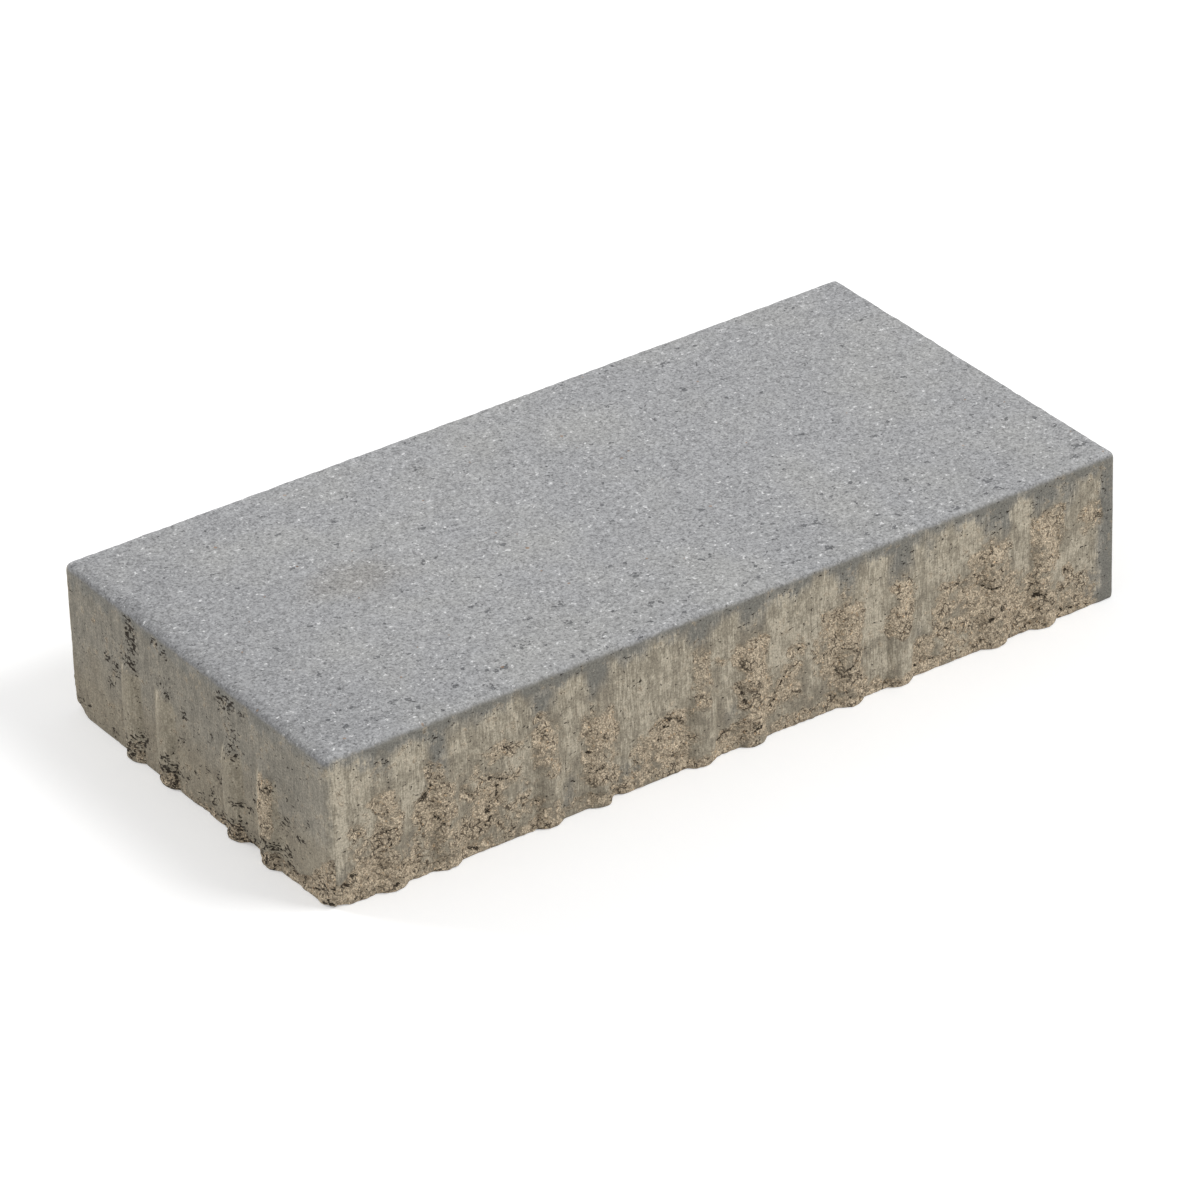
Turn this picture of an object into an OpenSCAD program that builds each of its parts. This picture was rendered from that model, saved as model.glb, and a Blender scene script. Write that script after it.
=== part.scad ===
// Concrete paving stone: a rectangular slab of pressed concrete with a rounded arris
// round its wearing face and pairs of upright spacer ribs on all four sides.
// Origin in the middle of the bedding face, +X along the length, +Z up to the wearing face.

/* [Body] */
// Length between the two end faces, without the ribs
body_l = 393; // [370:1:600]
// Width between the two long faces, without the ribs
body_w = 193; // [140:1:300]
// Thickness from the bedding face to the wearing face
body_h = 70; // [50:1:140]
// Radius of the arris round the wearing face and of the four upright corners
edge_r = 3; // [1.5:0.5:6]

/* [Spacer ribs] */
// Distance that a rib stands out from its face
rib_out = 3.5; // [2:0.5:5]
// Width of a rib where it meets its face
rib_w = 14; // [10:1:20]
// Spacing of the two ribs of a pair, centre to centre
rib_gap = 25.5; // [22:0.5:32]
// Spacing of one pair of ribs from the next, centre to centre
pair_pitch = 75; // [66:1:78]
// Distance from the wearing face down to the tip of a rib
rib_drop = 20; // [8:1:26]
// Length of the sloping run-out at the top of a rib
rib_runout = 14; // [6:1:20]

/* [Rib pattern] */
// Pairs of ribs on a long face
long_pairs = 5; // [1:1:5]
// Pairs of ribs on an end face
end_pairs = 2; // [1:1:2]
// Distance of the long-face pattern from the middle of its face, toward the left-hand corner
long_shift = 4; // [0:0.5:8]
// Distance of the end-face pattern from the middle of its face, toward the right-hand corner
end_shift = 2; // [0:0.5:6]

/* [Hidden] */
$fn = 96;

// Flat part of the wearing face, inside the arris
flat_l = body_l - 2 * edge_r;
flat_w = body_w - 2 * edge_r;
// Height at which the upright faces turn into the arris
arris_z = body_h - edge_r;
// Radius of the arc that gives a rib its width and its projection
rib_r = (rib_w * rib_w / 4 + rib_out * rib_out) / (2 * rib_out);
// Height of a rib's full section, below its run-out
rib_full_h = body_h - rib_drop - rib_runout;
// The run-out cone goes on into the body at the same slope, to end under the face
runout_over = 1.3;

// Outline of the upright faces in plan
module plan_outline() {
    square([body_l, flat_w], center = true);
    square([flat_l, body_w], center = true);
    for (x = [-1, 1], y = [-1, 1])
        translate([x * flat_l / 2, y * flat_w / 2])
            circle(r = edge_r);
}

// Body without ribs: upright faces, arris and wearing face
module body() {
    linear_extrude(arris_z)
        plan_outline();
    translate([-flat_l / 2, -flat_w / 2, 0])
        cube([flat_l, flat_w, body_h]);
    for (y = [-1, 1])
        translate([0, y * flat_w / 2, arris_z])
            rotate([0, 90, 0])
                cylinder(h = flat_l, r = edge_r, center = true);
    for (x = [-1, 1])
        translate([x * flat_l / 2, 0, arris_z])
            rotate([90, 0, 0])
                cylinder(h = flat_w, r = edge_r, center = true);
    for (x = [-1, 1], y = [-1, 1])
        translate([x * flat_l / 2, y * flat_w / 2, arris_z])
            sphere(r = edge_r);
}

// One rib on a face that lies in the plane y = 0 and looks toward -Y
module rib() {
    translate([0, rib_r - rib_out, 0]) {
        cylinder(h = rib_full_h, r = rib_r);
        translate([0, 0, rib_full_h])
            cylinder(h = rib_runout * runout_over, r1 = rib_r, r2 = rib_r - rib_out * runout_over);
    }
}

// A row of rib pairs, centred on x = 0
module rib_row(pairs) {
    for (pair = [0 : pairs - 1], side = [-1, 1])
        translate([(pair - (pairs - 1) / 2) * pair_pitch + side * rib_gap / 2, 0, 0])
            rib();
}

// The opposite faces carry the same rows, turned half round
module paving_stone() {
    color([0.62, 0.63, 0.63]) {
        body();
        for (turn = [0, 180])
            rotate([0, 0, turn]) {
                translate([-long_shift, -body_w / 2, 0])
                    rib_row(long_pairs);
                rotate([0, 0, -90])
                    translate([end_shift, -body_l / 2, 0])
                        rib_row(end_pairs);
            }
    }
}

paving_stone();
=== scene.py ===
"""Concrete paving stone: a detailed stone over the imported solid, on a pale floor in soft light.

Sizes and places on the stone are in millimetres.
The studio, the camera and the heights in the material are in metres.
"""
import itertools
import math

import bpy
import numpy as np
from mathutils import Matrix, Vector
from mathutils.geometry import delaunay_2d_cdt


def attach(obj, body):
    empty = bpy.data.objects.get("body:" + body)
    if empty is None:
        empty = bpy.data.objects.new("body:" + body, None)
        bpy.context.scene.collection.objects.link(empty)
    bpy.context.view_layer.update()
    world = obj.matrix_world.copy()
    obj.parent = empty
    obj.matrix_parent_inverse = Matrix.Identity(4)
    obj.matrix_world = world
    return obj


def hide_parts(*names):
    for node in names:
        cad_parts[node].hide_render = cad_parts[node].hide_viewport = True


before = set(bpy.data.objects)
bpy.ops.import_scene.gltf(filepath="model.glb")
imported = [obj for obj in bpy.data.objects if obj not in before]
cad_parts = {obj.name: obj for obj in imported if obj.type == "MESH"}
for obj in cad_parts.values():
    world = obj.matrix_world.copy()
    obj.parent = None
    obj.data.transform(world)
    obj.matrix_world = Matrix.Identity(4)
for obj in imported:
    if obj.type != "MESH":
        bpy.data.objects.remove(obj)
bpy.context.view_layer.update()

MM = 0.001
FAR = 99.0
FRONT, RIGHT, BACK, LEFT = range(4)

# Sizes of the stone, the same as the solid's
BODY_L = 393.0
BODY_W = 193.0
BODY_H = 70.0
EDGE_R = 3.0
RIB_OUT = 3.5
RIB_W = 14.0
RIB_GAP = 25.5
PAIR_PITCH = 75.0
RIB_TIP = 50.0
RIB_FULL = 36.0
LONG_SHIFT = 4.0
END_SHIFT = 2.0
LONG_PAIRS = 5
END_PAIRS = 2
RIB_RUN = RIB_TIP - RIB_FULL
RIB_R = (RIB_W * RIB_W / 4 + RIB_OUT * RIB_OUT) / (2 * RIB_OUT)

# Ribs: spread of their tips and of their loss in height, soft foot of each arc and curve of the run-out
RIB_SEED = 20261
TIP_SPREAD = (-4.0, 2.0)
LOSS_SPREAD = (0.0, 0.14)
RIB_BLEND = 0.35
RIB_SINK = 0.05
RUN_OUT_CURVE = 1.6

# Spacing of the mesh's points, and inset and height of the rows round the foot
SEEN_STEP = 0.95
HIDDEN_STEP = 1.25
ROW_STEP = 0.95
CORNER_STEPS = 5
ARRIS_ROWS = 6
FOOT_ROWS = [(1.0, 0.0), (0.35, 0.25), (0.05, 0.7)]
FOOT_TOP = 1.4

# Points of the wearing face and the underside: spacing, margin to the rim, jitter, seeds and unevenness
TOP_STEP = 3.3
UNDER_STEP = 6.0
TOP_MARGIN = 2.2
UNDER_MARGIN = 6.0
CAP_JITTER = 0.25
TOP_SEED = 7
UNDER_SEED = 8
TOP_WAVE = 0.3
UNDER_ROUGH = 0.8
UNDER_AWAY = 500.0

# Triangulation: fills only the inside of a loop, and takes points this close for one
INSIDE_ONLY = 1
SAME_POINT = 1e-6

# Noises over the sides: size, which may differ along x, y and z, number of layers and seed
SIDE_NOISES = {
    "wander": (22.0, 3, 5),
    "ragged": (6.0, 3, 31),
    "fine": (2.4, 2, 57),
    "streak": ((3.0, 3.0, 40.0), 3, 71),
    "broad": (60.0, 2, 93),
    "column": ((5.0, 5.0, 400.0), 3, 101),
    "mottle": (11.0, 3, 163),
}

# Other noises in the same order, and the lumps of the open concrete
SEAM_NOISE = (9.0, 2, 151)
TOP_NOISE = (35.0, 3, 211)
UNDER_NOISE = (14.0, 3, 223)
STAIN_NOISE = (14.0, 3, 241)
LAYER_SHARE = 0.55
LAYER_SEED_STEP = 17
LUMP_SIZE = 7.0
LUMP_SEED = 131
LUMP_WARP = 2.0

# Whole numbers that scatter the noises' lattice values
HASH_AXES = (668265263, 374761393, 2246822519)
HASH_SEED = 3266489917
HASH_ROUNDS = ((15, 739982445), (12, 695872825))
HASH_LAST = 15
HASH_BITS = 32

# Strengths of the smooth skin and of the slate-grey smears
HIDDEN_SLICK = 0.75
HIDDEN_SLATE = 0.55
HIDDEN_RIM = 0.8
FRONT_RIM = 0.9
FRONT_SMEAR = 0.9
LEFT_COOL = 0.4
LEFT_RIM = 0.7

# Paleness of the skin: its base, what each zone adds or takes, and how calm its streaks are
PALE_BASE = 0.35
PALE_SLICK = 0.5
PALE_SLATE = 0.35
PALE_RIM = 0.3
PALE_UPPER = 0.11
LEFT_BASE = 0.2
LEFT_SLATE = 0.12
# Left-face ribs are paler, partly their own tone and partly painted light
LEFT_RIB_TONE_AND_LIGHT = 0.2
# Painted light toward the near upright corner of the left face, and a painted highlight along that corner
LEFT_NEAR_LIGHT = 0.22
LEFT_CORNER_HIGHLIGHT = 0.3
CALM_LEFT = 0.5
CALM_END = 0.75

# How open the concrete is: its base, what each zone adds or takes, and two places on the left face
OPEN_BASE = 0.16
OPEN_FOOT = 0.3
OPEN_RIB = 0.28
OPEN_SLICK = 0.4
OPEN_SLATE = 0.5
OPEN_FRONT = 0.9
OPEN_TAKEN = 0.1
OPEN_END = 0.7
OPEN_CRACK = 0.75
LEFT_FOOT = 0.5
LEFT_OPEN_RIB = 0.1
LEFT_RIB_FOOT = 0.25
WEDGE_H = 25.0
WEDGE_OPEN = 0.85
TAN_RIB = (145.0, 154.0, 14.0, 42.0)
TAN_OPEN = 0.75

# Strengths of the pitted zones
FAINT_PITS = 0.6
LOW_PITS = 0.85
RIB_PITS = 0.7
PEPPER = 0.55

# Relief of the sides: crumbled lumps, crevices, pits and slight waves
CRUMB_RAGGED = 0.6
CRUMB_FINE = 0.5
CRUMB_SUNK = 0.75
LUMP_RISE = 0.95
FOOT_RELIEF = 0.5
RIM_RELIEF = 0.35
CRACK_DEPTH = 0.8
PIT_DEPTH = 0.8
SIDE_WAVE = 0.12
SIDE_GRIT = 0.05
SIDE_DRAWN = 0.08
ARRIS_RAGGED = 0.25
ARRIS_GRIT = 0.15
ARRIS_MOST = 0.1
NO_CRACK = 9.0
SEAM_REACH = 3.0

# Wear along the foot and at two lower corners: sides of the corner, reach and cut
FOOT_WEAR = 0.1
FOOT_WEAR_MORE = 0.4
CHIP_CORE = 0.3
WORN_CORNERS = [(-1, -1, 9.0, 2.0), (-1, 1, 11.0, 3.0)]
WORN_SHAPE = (1.0, 1.0, 1.6)
WORN_IN = 0.7
WORN_UP = 0.4

# Stain on the wearing face; painted shade near its left edge and on the left arris, and darker towards its
# front edge
STAIN_X = -111.0
STAIN_Y = 12.0
STAIN_R = 30.0
STAIN_NARROW = 1.3
STAIN_WAVER = 20.0
PAINTED_SHADE_WIDE = 0.06
PAINTED_SHADE_EDGE = 0.14
NEAR_DARKENING = 0.035
PAINTED_ARRIS_SHADE = 0.2
PAINTED_ARRIS_SHADE_LOW = 0.12
ARRIS_DROP = 0.4
LEFT_ARRIS_DROP = 1.4
ARRIS_FADE = 2.0

# Smooth patches left by the mould on the front face: start, end, bottom, top and strength
FRONT_SLICK = [
    # The first patch, by the near upright corner, is strengthened as a painted highlight
    (3, 8.5, 22, 72, 1.5), (9, 20, 30, 72, 0.75), (32, 48, 33, 68, 0.85), (57, 97, 44, 68, 0.5),
    (83, 97, 12, 48, 0.6), (67, 75, 28, 37, 0.6), (82, 90, 10, 22, 0.5), (109, 123, 41, 67, 0.65),
    (112, 123, 24, 38, 0.55), (36, 46, 11, 23, 0.45), (136, 174, 31, 68, 0.65),
    (139, 158, 18, 40, 0.65), (160, 172, 28, 42, 0.6), (186, 199, 45, 67, 0.85),
    (188, 198, 13, 42, 0.55), (212, 230, 27, 70, 0.9), (231, 250, 32, 67, 0.85),
    (233, 240, 13, 33, 0.7), (260, 275, 28, 68, 0.9), (263, 274, 2, 22, 0.75), (280, 287, 2, 26, 0.85),
    (287, 324, 39, 69, 0.7), (288, 299, 18, 33, 0.5), (304, 316, 2, 16, 0.8), (337, 349, 25, 68, 0.9),
    (340, 345, 10, 24, 0.5), (362, 384, 10, 38, 0.75), (365, 373, 50, 63, 0.8), (376, 382, 51, 61, 0.7),
    (356, 362, 20, 36, 0.9), (23, 31, 8, 22, 0.4), (53, 58, 12, 28, 0.5), (103, 109, 12, 25, 0.6),
    (129, 136, 10, 27, 0.6), (180, 186, 5, 32, 0.5),
]

# Slate-grey smears on the front face, in the same order
FRONT_SLATE = [
    (21, 31, 51, 69, 0.5), (49, 57, 46, 69, 0.8), (97, 109, 52, 71, 0.75), (123, 135, 54, 71, 0.8),
    (173, 186, 58, 71, 0.8), (199, 212, 56, 71, 0.7), (247, 259, 56, 71, 0.8), (275, 287, 51, 71, 0.7),
    (324, 337, 50, 71, 0.9), (349, 363, 54, 71, 0.9), (384, 396, -4, 72, 1.0), (57, 90, 62, 72, 0.8),
    (293, 299, 52, 66, 0.6), (161, 170, 12, 19, 0.5), (190, 198, 12, 20, 0.6), (136, 150, 7, 16, 0.6),
    (288, 292, 18, 26, 0.7), (362, 372, 54, 68, 0.7), (3, 9, 11, 18, 0.5), (110, 118, 4, 18, 0.5),
    (35, 41, 11, 22, 0.5), (89, 96, 12, 25, 0.4), (376, 386, 0, 20, 0.6),
]

# Open, crumbly concrete on the front face, in the same order
FRONT_BARE = [
    (-4, 384, -9, 8, 0.7), (-4, 42, -5, 13, 0.95), (10, 32, 8, 22, 0.8), (30, 62, 6, 24, 0.6),
    (58, 97, 8, 34, 0.6), (36, 62, 22, 36, 0.7), (140, 176, 3, 26, 0.6), (236, 262, 6, 40, 0.7),
    (300, 346, 4, 36, 0.7), (20, 33, 20, 47, 0.9), (8, 22, 14, 30, 0.6), (44, 60, 20, 42, 0.9),
    (46, 58, 40, 54, 0.45), (60, 75, 29, 42, 0.7), (74, 97, 40, 49, 0.55), (62, 84, 6, 30, 0.7),
    (97, 112, 26, 50, 0.8), (97, 112, -5, 12, 0.8), (121, 138, 12, 45, 0.85), (123, 136, 44, 56, 0.4),
    (156, 174, 2, 31, 0.8), (138, 156, 2, 14, 0.6), (172, 188, 24, 55, 0.8), (186, 198, -5, 10, 0.8),
    (198, 214, 2, 50, 0.95), (214, 233, 5, 32, 0.7), (224, 232, 30, 44, 0.6), (240, 262, 5, 50, 0.8),
    (250, 258, 44, 62, 0.4), (274, 288, 22, 50, 0.95), (286, 300, -5, 20, 0.8),
    (298, 340, 10, 40, 0.85), (318, 340, 36, 52, 0.6), (340, 362, -5, 28, 0.8),
    (348, 366, 26, 55, 0.85), (360, 384, -5, 20, 0.7), (374, 389, 34, 52, 0.7),
]

# Dark crevices on the front face, each a run of points along the face and up it
FRONT_CRACKS = [
    [(47, 49), (48, 50), (50, 48.5), (49, 45.5), (47.3, 46)],
    [(48.5, 44.5), (48.7, 40), (46, 36.5), (43, 34)],
    [(22, 27), (25, 28.5), (29.5, 29)],
    [(27, 26), (28, 22)],
    [(24, 19.5), (25.5, 20)],
    [(5, 11), (9, 10)],
    [(63.5, 32), (66, 29.5), (68.5, 27)],
    [(76, 33), (80, 31), (86, 29)],
    [(70, 10), (73.5, 11), (77, 14.5), (78.5, 13), (81, 9.5)],
    [(77, 20.5), (78.5, 22)],
    [(97.5, 14), (99, 13.5)],
    [(100.5, 51), (102, 51)],
    [(84, 45.2), (85.5, 44.5)],
    [(49, 27), (51, 24.5), (52.5, 22.5)],
    [(123, 27.5), (127, 25)],
    [(162, 28.5), (164.5, 26), (168, 25)],
    [(161, 24), (164, 23.5)],
    [(158.5, 18), (160, 19.5), (160.5, 17)],
    [(168, 12), (169.5, 13), (170, 11)],
    [(189, 44), (190, 44.3)],
    [(199, 29), (200.5, 24.5), (200, 21)],
    [(201.5, 27.5), (204, 27)],
    [(188, 7.5), (190.5, 10), (194, 9.5), (196, 8)],
    [(191.5, 5.5), (193, 5)],
    [(200, 8), (205, 7.2), (209.5, 9)],
    [(225, 36.5), (229.5, 35)],
    [(214, 13.5), (216, 17), (220, 24), (223, 27.5)],
    [(247, 19.3), (250, 17.5), (254, 18.5), (257, 23), (254, 27), (250, 29)],
    [(243.5, 8), (246.5, 6)],
    [(252, 8), (253, 4)],
    [(308, 37), (310.5, 36)],
    [(319, 37), (322, 35)],
    [(323.5, 43.5), (324, 42.5)],
    [(321, 32), (326, 29), (331, 29.5)],
    [(288, 5.5), (290, 4)],
    [(296, 5.5), (298.5, 5)],
    [(335, 25), (337, 23.5)],
    [(366.5, 23), (368, 20.5)],
    [(364, 3.5), (369, 4), (374, 3)],
    [(346, 3), (350, 3.5), (354, 2)],
    [(383.5, 43.5), (387.5, 40)],
    [(303, 18), (306, 16)],
    [(60, 12), (63, 11.5)],
    [(12, 33), (14.5, 32)],
    [(27, 1.5), (30, 3)],
    [(44, 3), (47, 4)],
    [(65, 4), (69, 2)],
    [(133, 6), (136.5, 9)],
]

# Chips along the foot: face, place along it, half width and depth
FOOT_CHIPS = [(FRONT, 1, 9, 1.2), (FRONT, 137, 4.5, 1.6), (LEFT, 134, 7, 2.0), (LEFT, 0, 6, 1.0)]

# Open, pitted clusters on the left face: start, end, bottom and top
LEFT_PORES = [
    (46, 55, 50, 68), (42, 53, 42.5, 48.5), (51, 54, 40, 43), (28, 35, 37, 42), (34, 40, 33, 41),
    (65, 71, 64, 67), (73, 78, 60, 66), (113, 128, 59, 66), (115, 125, 56.5, 61),
    (131, 136.5, 61, 63.5), (144, 156, 36, 39.5), (118, 122, 31, 33.5), (144, 158, 9.5, 14),
    (146, 153, 2, 7), (68, 82, 6.5, 11.5), (83, 88.5, 25, 28.5), (41, 53, 2, 7), (30, 36, 2, 5.5),
    (103, 107, 20, 23.5), (111, 115, 20, 25), (96, 102, 7, 9.5), (111, 116, 2, 6), (124, 139, 17, 20.5),
    (122, 133, 5, 11), (130, 141, 3.5, 7), (169, 175, 22, 25), (176.5, 180, 31.5, 35),
    (93, 98, 15, 17.5), (5, 14, 6, 9), (86, 91, 38, 43), (107, 111, 39.5, 42), (138, 141, 23, 26),
    (183, 190, 6, 10), (0, 5, 57, 62), (30, 36, 27, 29.5), (159, 163, 6, 8),
]

# Fainter pitted clusters on the left face, in the same order
LEFT_FAINT = [(68, 80, 42, 50), (119, 130, 36, 56), (156, 168, 22, 29)]


def smooth_step(value, zero, one):
    """Goes smoothly from 0 to 1 as the value goes from the first border to the second."""
    t = np.clip((value - zero) / (one - zero), 0.0, 1.0)
    return t * t * (3.0 - 2.0 * t)


def lattice_value(cell, seed):
    """Repeatable value from 0 to 1 for each whole-number lattice point."""
    n = np.uint32(seed * HASH_SEED % 2**HASH_BITS)
    for axis, factor in enumerate(HASH_AXES):
        n = n ^ cell[..., axis].astype(np.int64).astype(np.uint32) * np.uint32(factor)
    for shift, factor in HASH_ROUNDS:
        n = (n ^ (n >> np.uint32(shift))) * np.uint32(factor)
    n = n ^ (n >> np.uint32(HASH_LAST))
    return n / 2.0**HASH_BITS


def value_noise(points, seed):
    """Smooth noise from 0 to 1 that changes over one unit."""
    base = np.floor(points)
    part = points - base
    part = part * part * (3.0 - 2.0 * part)
    total = np.zeros(len(points))
    for corner in itertools.product((0, 1), repeat=3):
        offset = np.array(corner)
        weight = np.prod(np.where(offset, part, 1.0 - part), axis=1)
        total += weight * lattice_value(base + offset, seed)
    return total


def layered_noise(points, size, layers, seed):
    """Noise of that size with finer layers on it, spread round 0.5."""
    total = np.zeros(len(points))
    weight = 1.0
    reach = 0.0
    for layer in range(layers):
        scale = 2.0**layer / np.asarray(size)
        total += weight * value_noise(points * scale, seed + LAYER_SEED_STEP * layer)
        reach += weight
        weight *= LAYER_SHARE
    return total / reach


def cell_noise(points, size, seed):
    """Distances to the nearest and the second nearest of scattered points."""
    place = points / size
    base = np.floor(place)
    near = np.full(len(points), FAR)
    second = np.full(len(points), FAR)
    for step in itertools.product((-1, 0, 1), repeat=3):
        cell = base + np.array(step)
        spot = cell + np.stack([lattice_value(cell, seed + axis) for axis in range(3)], axis=1)
        gap = np.linalg.norm(spot - place, axis=1)
        second = np.where(gap < near, near, np.minimum(second, gap))
        near = np.minimum(near, gap)
    return near * size, second * size


def soft_box(along, up, patch, soft_along, soft_up):
    """1 inside a patch of a face and 0 outside it, with soft borders."""
    start, end, bottom, top = patch[:4]
    inside = smooth_step(along, zero=start - soft_along, one=start + soft_along)
    inside = inside * smooth_step(along, zero=end + soft_along, one=end - soft_along)
    inside = inside * smooth_step(up, zero=bottom - soft_up, one=bottom + soft_up)
    return inside * smooth_step(up, zero=top + soft_up, one=top - soft_up)


def patch_zone(patches, along, up, soft_along, soft_up):
    """The strongest of a list of patches at each point; a patch may end with a strength of its own."""
    zone = np.zeros(len(along))
    for patch in patches:
        strength = patch[4] if len(patch) > 4 else 1.0
        zone = np.maximum(zone, strength * soft_box(along, up, patch, soft_along, soft_up))
    return zone


def run_distance(along, up, run):
    """Distance from points of a face to a run of straight pieces."""
    best = np.full(len(along), FAR)
    for (a0, u0), (a1, u1) in zip(run[:-1], run[1:]):
        da = a1 - a0
        du = u1 - u0
        t = np.clip(((along - a0) * da + (up - u0) * du) / (da * da + du * du), 0.0, 1.0)
        best = np.minimum(best, np.hypot(along - a0 - t * da, up - u0 - t * du))
    return best


def rib_centres(which):
    """Places of the ribs along a face, from its left end as seen from outside."""
    if which in (FRONT, BACK):
        middle = BODY_L / 2 - LONG_SHIFT
        pairs = LONG_PAIRS
    else:
        middle = BODY_W / 2 + END_SHIFT
        pairs = END_PAIRS
    places = []
    for pair in range(pairs):
        centre = middle + (pair - (pairs - 1) / 2) * PAIR_PITCH
        places += [centre - RIB_GAP / 2, centre + RIB_GAP / 2]
    return places


def outline_columns():
    """Plan outline, anticlockwise from the front's left end: point, normal, face and place along it."""
    columns = []
    half_l = BODY_L / 2
    half_w = BODY_W / 2
    faces = [
        (FRONT, (-half_l, -half_w), (1, 0), BODY_L, SEEN_STEP),
        (RIGHT, (half_l, -half_w), (0, 1), BODY_W, HIDDEN_STEP),
        (BACK, (half_l, half_w), (-1, 0), BODY_L, HIDDEN_STEP),
        (LEFT, (-half_l, half_w), (0, -1), BODY_W, SEEN_STEP),
    ]
    for which, start, run, length, step in faces:
        normal = (run[1], -run[0])
        count = int(round((length - 2 * EDGE_R) / step))
        for place in np.linspace(EDGE_R, length - EDGE_R, count + 1):
            columns.append((start[0] + run[0] * place, start[1] + run[1] * place, *normal, which, place))
        corner_x = start[0] + run[0] * (length - EDGE_R) - normal[0] * EDGE_R
        corner_y = start[1] + run[1] * (length - EDGE_R) - normal[1] * EDGE_R
        turn = math.atan2(normal[1], normal[0])
        for step_number in range(1, CORNER_STEPS):
            part = step_number / CORNER_STEPS
            nx = math.cos(turn + part * math.pi / 2)
            ny = math.sin(turn + part * math.pi / 2)
            place = length - EDGE_R * (1 - part)
            columns.append((corner_x + nx * EDGE_R, corner_y + ny * EDGE_R, nx, ny, which, place))
    return np.array(columns)


def profile_rows():
    """Rows from the underside's rim to the flat top: inset, height and upward part of the normal."""
    rows = [(inset, height, 0.0) for inset, height in FOOT_ROWS]
    count = int(round((BODY_H - EDGE_R - FOOT_TOP) / ROW_STEP))
    rows += [(0.0, height, 0.0) for height in np.linspace(FOOT_TOP, BODY_H - EDGE_R, count + 1)]
    for part in np.linspace(0.0, 1.0, ARRIS_ROWS + 1)[1:]:
        angle = part * math.pi / 2
        inset = EDGE_R * (1 - math.cos(angle))
        rows.append((inset, BODY_H - EDGE_R * (1 - math.sin(angle)), math.sin(angle)))
    return np.array(rows)


# Side points, row by row from the underside's rim to the flat top
columns = outline_columns()
rows = profile_rows()
n_col = len(columns)
n_row = len(rows)
inset, up, lift = (np.repeat(rows[:, k], n_col) for k in range(3))
plan_x, plan_y, normal_x, normal_y, face, along = (np.tile(columns[:, k], n_row) for k in range(6))
side = np.stack([plan_x - normal_x * inset, plan_y - normal_y * inset, up], axis=1)
level_part = np.sqrt(np.clip(1.0 - lift * lift, 0.0, 1.0))
outward = np.stack([normal_x * level_part, normal_y * level_part, lift], axis=1)
on_front = face == FRONT
on_left = face == LEFT
on_right = face == RIGHT

# Noise shared by the shape and the masks, each spread round 0
noise = {name: 2.0 * layered_noise(side, *spec) - 1.0 for name, spec in SIDE_NOISES.items()}
wander = noise["wander"]
ragged = noise["ragged"]
fine = noise["fine"]
streak = noise["streak"]
broad = noise["broad"]
mottle = noise["mottle"]


def bend(values, **amounts):
    """Values moved by so much of each named noise, which makes straight borders uneven."""
    for name, amount in amounts.items():
        values = values + amount * noise[name]
    return values


def by_face(front, left, others):
    """One value for the front face, one for the left face and one for the other two."""
    return np.where(on_left, left, np.where(on_front, front, others))


def rib_shape():
    """Rise of the ribs over the faces, and place across the nearest rib and distance from its middle."""
    highest = np.zeros(len(side))
    near = np.full(len(side), FAR)
    nearest_across = np.full(len(side), FAR)
    rng = np.random.default_rng(RIB_SEED)
    for which in (FRONT, RIGHT, BACK, LEFT):
        for centre in rib_centres(which):
            tip = RIB_TIP + rng.uniform(*TIP_SPREAD)
            loss = RIB_OUT * rng.uniform(*LOSS_SPREAD)
            across = bend(np.where(face == which, along - centre, FAR), ragged=0.5, wander=0.5)
            level = bend(up, ragged=2.0, wander=2.0)
            fade = np.clip((level - (tip - RIB_RUN)) / RIB_RUN, 0.0, 1.0)
            radius = RIB_R - loss - (RIB_OUT - loss) * fade**RUN_OUT_CURVE
            arc = np.sqrt(np.clip(radius * radius - across * across, 0.0, None)) - (RIB_R - RIB_OUT)
            rise = 0.5 * (arc + np.sqrt(arc * arc + RIB_BLEND * RIB_BLEND))
            distance = np.abs(across)
            highest = np.maximum(highest, np.where(distance < RIB_W, rise, 0.0))
            nearest_across = np.where(distance < near, across, nearest_across)
            near = np.minimum(near, distance)
    return np.clip(highest - RIB_SINK, 0.0, None), nearest_across, near


rib_rise, rib_side, rib_near = rib_shape()
on_rib = 1.0 - smooth_step(rib_near, zero=5.5, one=9.0)
rib_body = smooth_step(bend(up, wander=4.0), zero=44.0, one=38.0)

# Smooth skin and slate-grey smears
bent_along = bend(along, wander=2.0, ragged=1.2)
bent_up = bend(up, column=7.0, ragged=3.0)
hidden_slick = HIDDEN_SLICK * (1.0 - on_rib) * smooth_step(bend(bent_up, wander=16.0), zero=18.0, one=48.0)
front_slick = patch_zone(FRONT_SLICK, bent_along, bent_up, soft_along=3.5, soft_up=8.0)
slick = by_face(front_slick, 0.0, hidden_slick)
patchy = smooth_step(wander + broad, zero=-0.5, one=0.35)
hidden_slate = HIDDEN_SLATE * on_rib * patchy * smooth_step(bend(bent_up, mottle=10.0), zero=44.0, one=62.0)
hidden_slate = np.maximum(hidden_slate, HIDDEN_RIM * smooth_step(bent_up, zero=59.0, one=70.0))
front_slate = FRONT_SMEAR * patch_zone(FRONT_SLATE, bent_along, bent_up, soft_along=4.0, soft_up=9.0)
front_slate = np.maximum(front_slate, FRONT_RIM * smooth_step(bent_up, zero=58.0, one=70.0))
slate = by_face(front_slate, smooth_step(bent_up, zero=60.0, one=70.0), hidden_slate)
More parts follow.
